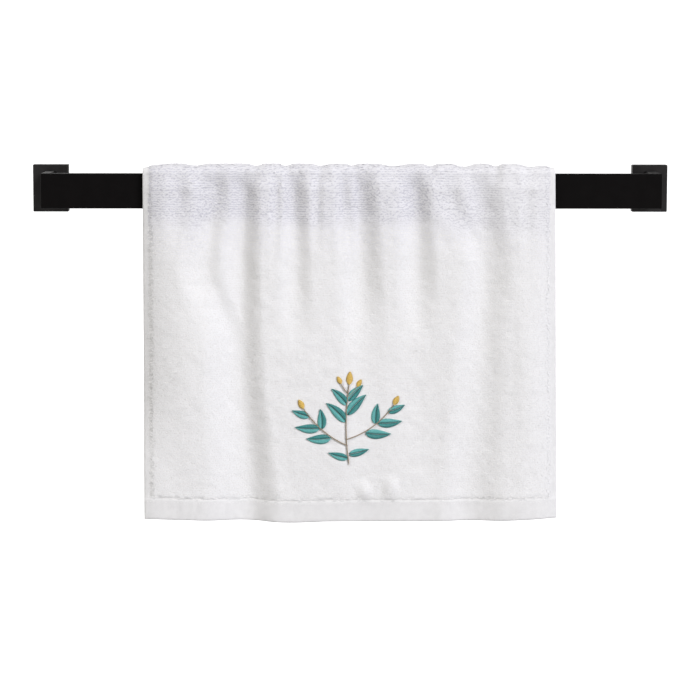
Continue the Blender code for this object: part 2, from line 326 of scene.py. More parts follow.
def panel_lift(x, below, behind):
    """How far the cloth of a panel stands off the line of tight cloth."""
    share = np.ones(np.broadcast(x, below).shape)
    for v in VALLEYS:
        line = MM * read_between(LEVELS, (v.x_bar, v.x_upper, v.x_middle, v.x_hem), below)
        depth = read_between(LEVELS, (v.d_bar, v.d_upper, v.d_middle, v.d_hem), below)
        growth = 1.0 + v.spread * np.clip(below / LEVELS[-1], 0.0, 1.0)
        reach = MM * growth * np.where(x < line, v.left, v.right)
        share = share - np.where(behind, v.back, 1.0) * depth * hump(x - line, reach)
    lift = MM * crest_height(below, behind) * np.maximum(share, 0.0)
    for s in SWELLS:
        swell = hump(x - MM * s.x, MM * s.reach_x) * hump(below - MM * s.below_top, MM * s.reach_z)
        lift = lift + np.where(behind, 0.0, MM * s.height * swell)
    return lift


def top_lift(x):
    """How far the puckers over the bar stand off the line of tight cloth."""
    share = np.ones(np.shape(x))
    for dip in TOP_DIPS:
        share = share - dip.depth * hump(x - MM * dip.x, MM * dip.reach)
    return MM * TOP_CREST * np.maximum(share, 0.0)


def sides(path):
    """The towel's left and right edges at places along it."""
    below = stations(path)[4]
    return TOWEL_LEFT + 0.0 * below, TOWEL_RIGHT + RIGHT_FLARE * below / FRONT_DROP


def cloth_lift(x, path):
    """How far the cloth stands off the line of tight cloth, with its folds flattened towards the sides."""
    below, over, behind = stations(path)[4:7]
    lift = (1.0 - over) * panel_lift(x, below, behind) + over * top_lift(x)
    left, right = sides(path)
    inward = np.clip(np.minimum(x - left, right - x) / SIDE_DRAW, 0.0, 1.0)
    side = inward * (2.0 - inward)
    clear = read_between(CORNER_LEVELS, (0.0, 1.0), below)
    clear = np.where(behind | (x > (left + right) / 2), 0.0, clear)
    at_side = SIDE_SHARE + (CORNER_SHARE - SIDE_SHARE) * clear
    hills = soft_noise(x, path, CLOTH_HILLS) + FINE_HILLS_SHARE * soft_noise(x, path, FINE_HILLS)
    uneven = CLOTH_HILLS_HEIGHT * side * hills
    return lift * (at_side + (1.0 - at_side) * side) + uneven * (1.0 - over * (1 - over))


def surface(x, path, offset):
    """Points of the hung cloth, offset outward from the inner face of the solid."""
    y, z, out_y, out_z, below, _, behind = stations(path)
    front = read_between([MM * s.x for s in FRONT_SAG], [MM * s.lower for s in FRONT_SAG], x)
    back = read_between([MM * s.x for s in BACK_SAG], [MM * s.lower for s in BACK_SAG], x)
    lower = np.where(behind, back * below / BACK_DROP, front * below / FRONT_DROP)
    out = cloth_lift(x, path) + offset
    x = x + 0.0 * path
    return np.stack((x, y + out_y * out, z - lower + out_z * out), axis=-1)


def unit(v):
    return v / np.maximum(np.linalg.norm(v, axis=-1, keepdims=True), 1e-12)


def outward_at(x, path, offset):
    """The way out of the cloth's face, and the way along its width. offset is a height or gives one."""
    reach = 0.0012

    def point(x, path):
        return surface(x, path, offset(x, path) if callable(offset) else offset)

    across = unit(point(x + reach, path) - point(x - reach, path))
    along = unit(point(x, path + reach) - point(x, path - reach))
    return unit(np.cross(across, along)), across


# ---------------------------------------------------------------- meshes

def fast_mesh(name, points, polygons, corner_uvs, material):
    """A mesh object from arrays. polygons and corner_uvs hold an array for each number of corners."""
    mesh = bpy.data.meshes.new(name)
    mesh.vertices.add(len(points))
    mesh.vertices.foreach_set("co", np.ascontiguousarray(points, dtype=np.float32).ravel())
    corners = np.concatenate([p.ravel() for p in polygons])
    sizes = np.concatenate([np.full(len(p), p.shape[1]) for p in polygons])
    mesh.loops.add(len(corners))
    mesh.loops.foreach_set("vertex_index", corners.astype(np.int32))
    mesh.polygons.add(len(sizes))
    mesh.polygons.foreach_set("loop_start", (np.cumsum(sizes) - sizes).astype(np.int32))
    mesh.update(calc_edges=True)
    layer = mesh.uv_layers.new(name="OFBake")
    uvs = np.concatenate([u.reshape(-1, 2) for u in corner_uvs])
    layer.data.foreach_set("uv", uvs.astype(np.float32).ravel())
    mesh.shade_smooth()
    mesh.materials.append(material)
    item = bpy.data.objects.new(name, mesh)
    bpy.context.collection.objects.link(item)
    return item


def tubes(name, centres, outward, radius_out, radius_side, tube_sides, material, soft=None):
    """Many short closed tubes as one mesh.

    centres and outward hold a point and the way out of the cloth for each ring of each tube, as arrays of
    (tubes, rings, 3). The radii are single numbers or arrays of (tubes, rings). soft is a share for each
    tube and the way its shading turns.
    """
    count, rings = centres.shape[:2]
    way = unit(np.gradient(centres, axis=1))
    sideways = unit(np.cross(way, outward))
    outward = np.cross(sideways, way)
    turn = np.arange(tube_sides) * 2 * math.pi / tube_sides
    reach_out = np.broadcast_to(radius_out, (count, rings))[..., None, None] * np.cos(turn)[:, None]
    reach_side = np.broadcast_to(radius_side, (count, rings))[..., None, None] * np.sin(turn)[:, None]
    points = centres[:, :, None] + outward[:, :, None] * reach_out + sideways[:, :, None] * reach_side

    ring, side = np.meshgrid(np.arange(rings - 1), np.arange(tube_sides), indexing="ij")
    ring, side = ring.ravel(), side.ravel()
    near, far = side, (side + 1) % tube_sides
    quad = np.stack((ring * tube_sides + near, ring * tube_sides + far,
                     (ring + 1) * tube_sides + far, (ring + 1) * tube_sides + near), axis=1)
    start_cap = np.arange(tube_sides)[::-1]
    end_cap = (rings - 1) * tube_sides + np.arange(tube_sides)
    first = (np.arange(count) * rings * tube_sides)[:, None, None]
    quads = (first + quad[None]).reshape(-1, 4)
    caps = (first + np.stack((start_cap, end_cap))[None]).reshape(-1, tube_sides)

    # Each tube has its own square of the bake's map, unrolled along it, with its caps in the last strip
    cells = math.ceil(math.sqrt(count))
    corner = np.stack((np.arange(count) % cells, np.arange(count) // cells), axis=1) / cells
    margin, square = 0.1 / cells, 0.8 / cells
    unrolled, caps_at, cap_high, cap_wide = 0.85, 0.95, 0.04, 0.4
    along = np.stack((ring, ring, ring + 1, ring + 1), axis=1) / (rings - 1)
    around = np.stack((side, side + 1, side + 1, side), axis=1) / tube_sides * unrolled
    quad_uv = np.stack((along, around), axis=-1) * square + margin
    cap_uv = np.stack((0.5 + cap_wide * np.cos(turn), caps_at + cap_high * np.sin(turn)), axis=-1)
    quad_uvs = corner[:, None, None] + quad_uv[None]
    cap_uvs = corner[:, None, None] + np.broadcast_to(cap_uv * square + margin, (1, 2, tube_sides, 2))
    item = fast_mesh(name, points.reshape(-1, 3), [quads, caps], [quad_uvs, cap_uvs], material)
    if soft:
        share, turned = soft[0][:, None, None, None], soft[1][:, None, None]
        normals = unit((1.0 - share) * unit(points - centres[:, :, None]) + share * turned)
        item.data.normals_split_custom_set_from_vertices(normals.reshape(-1, 3).tolist())
    return item


# ---------------------------------------------------------------- materials

def new_material(name, specular, roughness=None):
    """A material with its specular level, and one roughness all over unless that is left open."""
    material = bpy.data.materials.new(name)
    material.use_nodes = True
    nodes, links = material.node_tree.nodes, material.node_tree.links
    shader = nodes["Principled BSDF"]
    shader.inputs["Specular IOR Level"].default_value = specular
    if roughness is not None:
        shader.inputs["Roughness"].default_value = roughness
    return material, nodes, links, shader


def noise(nodes, links, scale, detail=3.0):
    """A noise from 0 to 1 in the piece's own coordinates, scale in hills per metre."""
    place = nodes.new("ShaderNodeTexCoord")
    texture = nodes.new("ShaderNodeTexNoise")
    texture.inputs["Scale"].default_value = scale
    texture.inputs["Detail"].default_value = detail
    links.new(place.outputs["Object"], texture.inputs["Vector"])
    return texture.outputs["Fac"]


def two_tones(nodes, links, source, tones, reach=0.2):
    """A colour that goes from the first tone to the second round a source of 0.5, within reach of it."""
    ramp = nodes.new("ShaderNodeValToRGB")
    for element, place, colour in zip(ramp.color_ramp.elements, (0.5 - reach, 0.5 + reach), tones):
        element.position = place
        element.color = (*colour, 1.0)
    links.new(source, ramp.inputs["Fac"])
    return ramp.outputs["Color"]


def add_bump(nodes, links, shader, source, strength, distance):
    bump = nodes.new("ShaderNodeBump")
    bump.inputs["Strength"].default_value = strength
    bump.inputs["Distance"].default_value = distance
    links.new(source, bump.inputs["Height"])
    links.new(bump.outputs["Normal"], shader.inputs["Normal"])


def product(nodes, links, first, second):
    node = nodes.new("ShaderNodeMath")
    node.operation = "MULTIPLY"
    links.new(first, node.inputs[0])
    links.new(second, node.inputs[1])
    return node.outputs["Value"]


def scaled_sum(nodes, links, source, factor, other):
    """source times factor, plus other."""
    node = nodes.new("ShaderNodeMath")
    node.operation = "MULTIPLY_ADD"
    node.inputs[1].default_value = factor
    links.new(source, node.inputs[0])
    links.new(other, node.inputs[2])
    return node.outputs["Value"]


def smooth_range(nodes, links, source, start, end, low=0.0, high=1.0):
    """Goes softly from low at start to high at end."""
    node = nodes.new("ShaderNodeMapRange")
    node.interpolation_type = "SMOOTHSTEP"
    for name, value in (("From Min", start), ("From Max", end), ("To Min", low), ("To Max", high)):
        node.inputs[name].default_value = value
    links.new(source, node.inputs["Value"])
    return node.outputs["Result"]


def painted_shade_share(nodes, links, start):
    """How far the painted shade of the ruffled pile shows: 0 below start, 1 from the height where it is
    full up, and less at the right.
    """
    place = nodes.new("ShaderNodeTexCoord")
    split = nodes.new("ShaderNodeSeparateXYZ")
    links.new(place.outputs["Object"], split.inputs["Vector"])
    across, height = split.outputs["X"], split.outputs["Z"]
    height = scaled_sum(nodes, links, noise(nodes, links, 120.0), SHADE_STRAY, height)
    height = scaled_sum(nodes, links, noise(nodes, links, 30.0, detail=1.0), BROAD_SHADE_STRAY, height)
    height = scaled_sum(nodes, links, smooth_range(nodes, links, across, *RIGHT_CALM), RIGHT_REACH, height)
    mean_stray = (SHADE_STRAY + BROAD_SHADE_STRAY) / 2
    share = smooth_range(nodes, links, height, start + mean_stray, SHADE_FULL + mean_stray)
    return product(nodes, links, share, smooth_range(nodes, links, across, *RIGHT_CALM, 1.0, RIGHT_SHADE))


def white_with_painted_shade(nodes, links, source, calm_tones, painted_shade_tones, start):
    """Uneven white: calm tones low down, and the darker, bluer tones of painted shade from the height start
    up.
    """
    white = nodes.new("ShaderNodeMix")
    white.data_type = "RGBA"
    links.new(painted_shade_share(nodes, links, start), white.inputs["Factor"])
    links.new(two_tones(nodes, links, source, calm_tones), white.inputs["A"])
    links.new(two_tones(nodes, links, source, painted_shade_tones), white.inputs["B"])
    return white.outputs["Result"]


def terry_material():
    """White cotton loops: faintly uneven white with painted shade where the pile is ruffled over the bar,
    and a fibrous surface.
    """
    material, nodes, links, shader = new_material("terry_loops", specular=0.2, roughness=0.9)
    calm = ((0.781, 0.777, 0.786), (0.811, 0.807, 0.816))
    # ruffled: painted shade, a darker and bluer white for the pile bent open over the bar
    ruffled = ((0.720, 0.714, 0.746), (0.775, 0.769, 0.801))
    white = white_with_painted_shade(nodes, links, noise(nodes, links, 260.0), calm, ruffled, LOOPS_SHADE_START)
    links.new(white, shader.inputs["Base Color"])
    fibres = noise(nodes, links, 2600.0, detail=2.0)
    add_bump(nodes, links, shader, fibres, strength=0.1, distance=0.0003)
    return material


def ground_material():
    """The woven ground under the pile, seen between the loops, with strong painted shade where the pile is
    ruffled.
    """
    material, nodes, links, shader = new_material("terry_ground", specular=0.2, roughness=0.95)
    calm = ((0.76, 0.75, 0.755), (0.80, 0.79, 0.79))
    # ruffled: painted shade between the parted loops, much darker and bluer than the calm ground
    ruffled = ((0.555, 0.550, 0.60), (0.635, 0.630, 0.68))
    white = white_with_painted_shade(nodes, links, noise(nodes, links, 420.0), calm, ruffled, GROUND_SHADE_START)
    links.new(white, shader.inputs["Base Color"])
    knots = noise(nodes, links, 700.0, detail=2.0)
    add_bump(nodes, links, shader, knots, strength=0.4, distance=0.0012)
    return material


def woven_material():
    """The flat weave of hems and selvedges: fine crossing threads."""
    material, nodes, links, shader = new_material("flat_weave", specular=0.2, roughness=0.85)
    place = nodes.new("ShaderNodeTexCoord")
    wave_rate = 20.0  # radians in a metre of the wave texture at scale 1
    ridges = []
    for axis, pitch in (("X", 0.0011), ("Z", 0.0009)):
        wave = nodes.new("ShaderNodeTexWave")
        wave.bands_direction = axis
        wave.inputs["Scale"].default_value = 2 * math.pi / wave_rate / pitch
        wave.inputs["Distortion"].default_value = 0.8
        wave.inputs["Detail"].default_value = 1.0
        links.new(place.outputs["Object"], wave.inputs["Vector"])
        ridges.append(wave.outputs["Fac"])
    add_bump(nodes, links, shader, product(nodes, links, *ridges), strength=0.45, distance=0.0004)
    tones = ((0.765, 0.758, 0.765), (0.81, 0.803, 0.81))
    white = two_tones(nodes, links, noise(nodes, links, 180.0), tones)
    links.new(white, shader.inputs["Base Color"])
    return material


def thread_material(name, tones):
    """Glossy embroidery thread with a little variation from stitch to stitch."""
    material, nodes, links, shader = new_material(name, specular=0.45, roughness=0.38)
    shader.inputs["Sheen Weight"].default_value = 0.1
    colour = two_tones(nodes, links, noise(nodes, links, 900.0, detail=2.0), tones)
    links.new(colour, shader.inputs["Base Color"])
    twist = noise(nodes, links, 5200.0, detail=1.0)
    add_bump(nodes, links, shader, twist, strength=0.3, distance=0.0001)
    return material


def metal_material(name, tones, specular, roughness):
    """Black powder coat: almost no colour, faintly grainy."""
    material, nodes, links, shader = new_material(name, specular)
    colour = two_tones(nodes, links, noise(nodes, links, 90.0, detail=4.0), tones, reach=0.15)
    links.new(colour, shader.inputs["Base Color"])
    grain = noise(nodes, links, 1500.0, detail=2.0)
    rough = nodes.new("ShaderNodeMapRange")
    rough.inputs["To Min"].default_value = roughness - 0.06
    rough.inputs["To Max"].default_value = roughness + 0.06
    links.new(grain, rough.inputs["Value"])
    links.new(rough.outputs["Result"], shader.inputs["Roughness"])
    add_bump(nodes, links, shader, grain, strength=0.12, distance=0.0002)
    return material


# ---------------------------------------------------------------- the towel's sheet

def edge_places(start, end, step, edge, closer):
    """Places from start to end about step apart, and the closer ones, in millimetres from each end."""
    steps = np.arange(math.ceil((end - start - 2 * edge) / step) + 1)
    middle = start + edge + steps / steps[-1] * (end - start - 2 * edge)
    return np.array([*(start + MM * p for p in closer), *middle, *(end - MM * p for p in closer[::-1])])


def pile_share(x, path):
    """How full the pile is: 0 on selvedges and hems, 1 inside, with a rounded and uneven edge between."""
    left, right = sides(path)
    stray = EDGE_STRAY * soft_noise(x, path, PILE_EDGE_HILLS)
    from_side = np.minimum(x - left, right - x) + stray
    from_end = np.minimum(path, PATH_END - path) + stray
    past_selvedge = smooth_step((from_side - PILE_START) / PILE_SLOPE)
    return past_selvedge * smooth_step((from_end - HEM_DEPTH) / HEM_SLOPE)


def sheet_faces(x, path):
    """Offsets of the sheet's inner and outer faces: thin at selvedges and hems, with rolled edges."""
    left, right = sides(path)
    from_side = np.minimum(x - left, right - x)
    from_end = np.minimum(path, PATH_END - path) + 0.0 * x
    terry = pile_share(x, path)
    hem = 1.0 - smooth_step((from_end - HEM_DEPTH) / HEM_FADE)
    thin = SELVEDGE_THICKNESS + (HEM_THICKNESS - SELVEDGE_THICKNESS) * hem
    middle = TERRY_THICKNESS / 2
    rounded = 1.0 - np.clip(1.0 - np.minimum(from_side, from_end) / ROLLED_EDGE, 0.0, 1.0) ** 2
    thin = thin * (ROLLED_SHARE + (1.0 - ROLLED_SHARE) * np.sqrt(rounded))
    inner = LINING * terry + (middle - thin / 2) * (1.0 - terry)
    outer = ROOT * terry + (middle + thin / 2) * (1.0 - terry)
    return inner, outer


def make_sheet(ground, weave):
    """The towel's cloth: one closed sheet on the solid's folds, thinner at its hems and selvedges."""
    share = edge_places(0.0, 1.0, SHEET_STEP / (TOWEL_RIGHT - TOWEL_LEFT), 0.0, ())
    path = edge_places(0.0, PATH_END, SHEET_STEP, EVEN_ROWS_START, HEM_ROWS)[:, None]
    left, right = sides(path)
    band = np.array(SIDE_COLUMNS) * MM
    even_width = right - left - 2 * (band[-1] + EVEN_COLUMNS_GAP)
    even = left + band[-1] + EVEN_COLUMNS_GAP + share[None] * even_width
    x = np.concatenate((left + band, even, right - band[::-1]), axis=1)
    inner_offset, outer_offset = sheet_faces(x, path)
    inner, outer = surface(x, path, inner_offset), surface(x, path, outer_offset)
    index = np.arange(x.size).reshape(x.shape)
    lower = x.size
    a, b, c, d = index[:-1, :-1], index[:-1, 1:], index[1:, 1:], index[1:, :-1]
    outer_quads = np.stack((a, b, c, d), axis=-1).reshape(-1, 4)
    inner_quads = lower + np.stack((a, d, c, b), axis=-1).reshape(-1, 4)

    def rim(line):
        return np.stack((line[1:], line[:-1], lower + line[:-1], lower + line[1:]), axis=1)

    rims = [rim(index[0, :]), rim(index[::-1, 0]), rim(index[-1, ::-1]), rim(index[:, -1])]
    quads = np.concatenate([outer_quads, inner_quads, *rims])

    # The map lays the outer and the inner face side by side
    wide = 1.0 / 2.1
    u = (x - TOWEL_LEFT) / (TOWEL_RIGHT + RIGHT_FLARE - TOWEL_LEFT) * wide
    v = np.broadcast_to(path / PATH_END, x.shape)
    place = np.stack((u, v), axis=-1).reshape(-1, 2)
    place = np.concatenate((place, place + (1.0 - wide, 0.0)))
    points = np.concatenate((outer.reshape(-1, 3), inner.reshape(-1, 3)))
    sheet = fast_mesh("towel_cloth", points, [quads], [place[quads]], ground)
    sheet.data.materials.append(weave)
    flat_woven = pile_share(x, path).ravel() < FLAT_WOVEN
    flat_woven = np.concatenate((flat_woven, flat_woven))
    slots = flat_woven[quads].all(axis=1).astype(np.int32)
    sheet.data.polygons.foreach_set("material_index", slots)
    sheet.data.update()
    return sheet


# ---------------------------------------------------------------- the pile

def in_rows(x, path):
    """Where the loops still lie in the rows of the weave, from 0 to 1."""
    return smooth_step(0.5 + ROW_CONTRAST * soft_noise(x, path, ROW_PATCHES))


def loop_lattice():
    """Jittered places for the loops over the outer face, in rows across the towel."""
    rng = np.random.default_rng(LATTICE_SEED)
    rows = np.arange(HEM_DEPTH + HEM_MARGIN, PATH_END - HEM_DEPTH - HEM_MARGIN, LOOP_PITCH)
    count = int((TOWEL_RIGHT - TOWEL_LEFT - 2 * PILE_START) / LOOP_PITCH)
    path = np.repeat(rows[:, None], count, axis=1)
    left, right = sides(path)
    start, end = left + PILE_START + SIDE_MARGIN, right - PILE_START - SIDE_MARGIN
    stagger = (np.arange(len(rows)) % 2)[:, None] * 0.5
    share = (np.arange(count)[None] + stagger) / count
    x = start + share * (end - start) + rng.uniform(-LOOP_STRAY, LOOP_STRAY, path.shape) * LOOP_PITCH
    stray = LOOP_STRAY * (1.0 - ROW_ORDER * in_rows(x, path))
    path = path + rng.uniform(-1.0, 1.0, path.shape) * stray * LOOP_PITCH
    return x.ravel(), path.ravel()


def hollow(x, path):
    """How deep in a fold a place lies: 0 on the crests, 1 on the bar."""
    below, over, behind = stations(path)[4:7]
    crest = crest_height(below, behind) * (1.0 - over) + TOP_CREST * over
    return 1.0 - np.clip(cloth_lift(x, path) / MM / crest, 0.0, 1.0)


def opened(x, path):
    """How far the ruffled pile parts: 1 in the folds, 0 on the crests, and a little more at the left."""
    left = 1.0 - smooth_step((x - CALM_CRESTS[0]) / (CALM_CRESTS[1] - CALM_CRESTS[0]))
    return np.clip(FOLD_PARTING * hollow(x, path) + LEFT_PARTING * left, 0.0, 1.0)


def ruffle(x, path):
    """How ruffled the pile is: most where it is bent over the bar, and less towards the right."""
    below = stations(path)[4]
    right = smooth_step((x - RIGHT_CALM[0]) / (RIGHT_CALM[1] - RIGHT_CALM[0]))
    reach = RUFFLE_REACH + RUFFLE_STRAY * soft_noise(x, path, RUFFLE_HILLS) + RIGHT_REACH * right
    return smooth_step((reach - below) / RUFFLE_FADE) * (1.0 - RIGHT_LESS * right)


def pile_top(x, path):
    """The offset of the pile's top."""
    return sheet_faces(x, path)[1] + PILE_RISE * pile_share(x, path)


def make_pile(material, bare):
    """The looped pile of the outer face, as several pieces of small yarn arches."""
    x, path = loop_lattice()
    keep = ~bare(x, path) & (pile_share(x, path) > PILE_LEAST)
    x, path = x[keep], path[keep]
    count = len(x)
    full = pile_share(x, path)
    root = surface(x, path, sheet_faces(x, path)[1] - ROOT_SINK)
    out, across = outward_at(x, path, pile_top)
    parted = opened(x, path)
    ruffled = ruffle(x, path)
    rough = ruffled * np.minimum(CREST_ROUGH + PARTED_ROUGH * parted, 1.0)

    # The way each loop stands and lies
    rng = np.random.default_rng(LOOP_SEED)
    spin = rng.normal(0.0, LOOP_SPIN, count) * (1.0 - ROW_ORDER * in_rows(x, path))
    up = np.cross(out, across)
    width_way = unit(np.cos(spin)[:, None] * across + np.sin(spin)[:, None] * up)
    side_way = np.cross(out, width_way)
    lean = rng.normal(0.0, SIDE_LEAN, (count, 1)) * side_way
    lean = lean + rng.normal(0.0, WIDTH_LEAN, (count, 1)) * width_way
    rise = unit(out + lean * (1.0 + RUFFLED_LEAN * rough)[:, None])

    # Its size
    clump = 1.0 + CLUMP_RISE * soft_noise(x, path, CLUMPS)
    clump = clump + BROAD_CLUMP_RISE * soft_noise(x, path, BROAD_CLUMPS)
    height = LOOP_HEIGHT + (RUFFLED_HEIGHT - LOOP_HEIGHT) * rough
    stray = 1.0 + rng.uniform(-HEIGHT_STRAY, HEIGHT_STRAY, count) * (1.0 + rough)
    height = height * clump * stray * (EDGE_HEIGHT + (1.0 - EDGE_HEIGHT) * full)
    width = LOOP_WIDTH * rng.uniform(1.0 - WIDTH_STRAY, 1.0 + WIDTH_STRAY, count)
    yarn = YARN_RADIUS * rng.uniform(1.0 - YARN_STRAY, 1.0 + YARN_STRAY, (count, 1))
    ruffled_spread = FULL_SPREAD + (OPEN_SPREAD - FULL_SPREAD) * parted
    wide = yarn * (YARN_SPREAD + (ruffled_spread - YARN_SPREAD) * ruffled)[:, None]
    softness = YARN_SOFTNESS + (RUFFLED_SOFTNESS - YARN_SOFTNESS) * rough

    angle = np.radians(LOOP_ARCH)
    sin, cos = np.sin(angle)[None, :, None], np.cos(angle)[None, :, None]
    centres = (root[:, None] + width_way[:, None] * sin * width[:, None, None] / 2
               + rise[:, None] * cos * height[:, None, None])
    outward = unit(width_way[:, None] * sin + rise[:, None] * cos)
    pieces = []
    bands = math.ceil(count / LOOPS_A_PIECE)
    order = np.argsort(path, kind="stable")
    for number, chosen in enumerate(np.array_split(order, bands), start=1):
        pieces.append(tubes(f"pile_{number}", centres[chosen], outward[chosen], yarn[chosen], wide[chosen],
                            LOOP_SIDES, material, (softness[chosen], out[chosen])))
    return pieces


# ---------------------------------------------------------------- the embroidered sprig

# The sprig's stems, leaves and buds, in millimetres from its middle, headings in degrees clockwise from up
Stem = namedtuple("Stem", "start pull end length")
STEMS = (
    Stem((1, -46), (-5, -8), (1, 33), 80),
    Stem((-1, -27), (-26, -17), (-44, 10), 60),
    Stem((-1, -21), (27, -13), (45, 13), 60),
    Stem((0, 24), (-4, 28), (-7, 34), 12),
    Stem((0, 21), (5, 26), (9, 31), 13),
)
Leaf = namedtuple("Leaf", "x z heading length width bend")
LEAVES = (
    Leaf(-2, -4, -46, 27, 10.0, 2.0),
    Leaf(-1, 3, 43, 27, 10.0, -2.0),
    Leaf(-1, 13, -44, 22, 8.5, 1.5),
    Leaf(0, 17, 44, 21, 8.5, -1.5),
    Leaf(-17, -20, -90, 24, 9.5, -2.0),
    Leaf(-28, -10, -86, 24, 9.0, -2.0),
    Leaf(-26, -11, -4, 20, 8.5, 1.6),
    Leaf(-38, 2, -70, 18, 7.5, -1.4),
    Leaf(17, -15, 92, 25, 9.5, 2.0),
    Leaf(29, -5, 86, 24, 9.0, 2.0),
    Leaf(27, -6, 6, 20, 8.5, -1.6),
    Leaf(39, 6, 68, 18, 7.5, 1.4),
    Leaf(0, -40, -74, 20, 7.5, -1.2),
    Leaf(1, -36, 76, 20, 7.5, 1.2),
)
Bud = namedtuple("Bud", "x z heading length width")
BUDS = (
    Bud(1, 33, 4, 13, 6.2),
    Bud(-44, 10, -28, 10, 5.4),
    Bud(45, 13, 28, 10, 5.4),
    Bud(-7, 34, -26, 8, 4.4),
    Bud(9, 31, 30, 8, 4.4),
)

# Stitches: their ends in the sprig's plane, and the heights of their ends and middle off the sheet, in
# millimetres
Stitch = namedtuple("Stitch", "start end low high")
LEAF_HEIGHTS, BUD_HEIGHTS, STEM_HEIGHTS = (0.3, 1.3), (0.4, 1.6), (0.7, 1.5)
LEAF_SLANT = 0.13  # how far a leaf's stitches slant forward, as a share of the way to its tip
LEAF_LAST = 0.995  # the share of a leaf's length that they reach
VEIN_GAP = 0.25  # from a leaf's middle line to its stitches
BUD_LEAST = 0.15  # half the width of a bud's shortest stitches
STEM_PITCH, STEM_REACH, STEM_SIDE = 0.95, 1.2, 0.34  # and how far its stitches reach along and to each side

Thread = namedtuple("Thread", "material tones slot")
THREADS = {
    "leaves_light": Thread("teal_thread_light", ((0.075, 0.33, 0.32), (0.14, 0.44, 0.43)), "teal_thread"),
    "leaves_dark": Thread("teal_thread_dark", ((0.018, 0.17, 0.165), (0.05, 0.27, 0.265)), "teal_thread"),
    "stems": Thread("brown_thread", ((0.24, 0.18, 0.115), (0.36, 0.28, 0.19)), "brown_thread"),
    "buds": Thread("gold_thread", ((0.55, 0.36, 0.07), (0.74, 0.52, 0.14)), "gold_thread"),
}


def along_curve(points, share):
    """A point and a direction on a quadratic curve through its start, pull and end."""
    start, pull, end = (np.array(p, dtype=float) for p in points)
    place = (1 - share) ** 2 * start + 2 * share * (1 - share) * pull + share ** 2 * end
    way = 2 * (1 - share) * (pull - start) + 2 * share * (end - pull)
    return place, way / np.linalg.norm(way)


def heading_way(heading):
    turn = math.radians(heading)
    return np.array((math.sin(turn), math.cos(turn)))


def right_of(way):
    return np.array((way[1], -way[0]))


def step_middles(length, pitch):
    """The middles of a length's even steps, as shares of it."""
    count = int(length / pitch)
    return [(step + 0.5) / count for step in range(count)]


def pointed(share, skew, fullness):
    """Half the width along a pointed shape, 1 at its widest. A lower skew widens it nearer its base."""
    return math.sin(math.pi * share ** skew) ** fullness


def leaf_stitches(leaf):
    """Satin stitches of a leaf: two halves, each slanting from the middle vein to the outline."""
    way = heading_way(leaf.heading)
    base = np.array((leaf.x, leaf.z), dtype=float)
    vein = (base, base + way * leaf.length / 2 + right_of(way) * leaf.bend, base + way * leaf.length)
    halves = ([], [])
    for half, sign in zip(halves, (-1, 1)):
        for share in step_middles(leaf.length, THREAD_PITCH / MM):
            reach = min(share + LEAF_SLANT * (1 - share), LEAF_LAST)
            inner, _ = along_curve(vein, share)
            middle, forward = along_curve(vein, reach)
            outline = leaf.width / 2 * pointed(reach, skew=0.72, fullness=0.85)
            aside = sign * right_of(forward)
            half.append(Stitch(inner + VEIN_GAP * aside, middle + outline * aside, *LEAF_HEIGHTS))
    return halves


def bud_stitches(bud):
    """Satin stitches straight across a small pointed bud."""
    way = heading_way(bud.heading)
    side = right_of(way)
    stitches = []
    for share in step_middles(bud.length, THREAD_PITCH / MM):
        reach = bud.width / 2 * pointed(share, skew=0.8, fullness=0.8) + BUD_LEAST
        middle = np.array((bud.x, bud.z), dtype=float) + way * bud.length * share
        stitches.append(Stitch(middle - side * reach, middle + side * reach, *BUD_HEIGHTS))
    return stitches


def stem_stitches(stem):
    """A rope of short slanting stitches along a stem."""
    stitches = []
    for share in step_middles(stem.length, STEM_PITCH):
        middle, way = along_curve((stem.start, stem.pull, stem.end), share)
        reach = way * STEM_REACH + right_of(way) * STEM_SIDE
        stitches.append(Stitch(middle - reach, middle + reach, *STEM_HEIGHTS))
    return stitches


def sprig_stitches():
    """Every stitch of the sprig, by the piece it belongs to."""
    stitches = {part: [] for part in THREADS}
    for stem in STEMS:
        stitches["stems"] += stem_stitches(stem)
    for leaf in LEAVES:
        left, right = leaf_stitches(leaf)
        stitches["leaves_light"] += left
        stitches["leaves_dark"] += right
    for bud in BUDS:
        stitches["buds"] += bud_stitches(bud)
    return stitches


def stitch_rings(stitches, rings):
    """Ring places of each stitch in the sprig's plane, and their heights."""
    share = np.linspace(0.0, 1.0, rings)[None, :, None]
    start = np.array([s.start for s in stitches])[:, None]
    end = np.array([s.end for s in stitches])[:, None]
    flat = (start + (end - start) * share) * MM
    low = np.array([s.low for s in stitches])[:, None] * MM
    high = np.array([s.high for s in stitches])[:, None] * MM
    crown = np.sin(np.linspace(0.0, math.pi, rings))[None] ** 0.6
    return flat, low + (high - low) * crown


def make_stitches(name, stitches, material):
    flat, height = stitch_rings(stitches, STITCH_RINGS)
    x = SPRIG_X + flat[..., 0]
    path = FRONT_DROP - (BAR_TOP - (SPRIG_Z + flat[..., 1]))
    centres = surface(x, path, ROOT + height)
    out, _ = outward_at(x, path, ROOT)
    radius_out = THREAD_RADIUS * THREAD_FLATNESS
    piece = tubes(name, centres, out, radius_out, THREAD_RADIUS, THREAD_SIDES, material)
    return piece


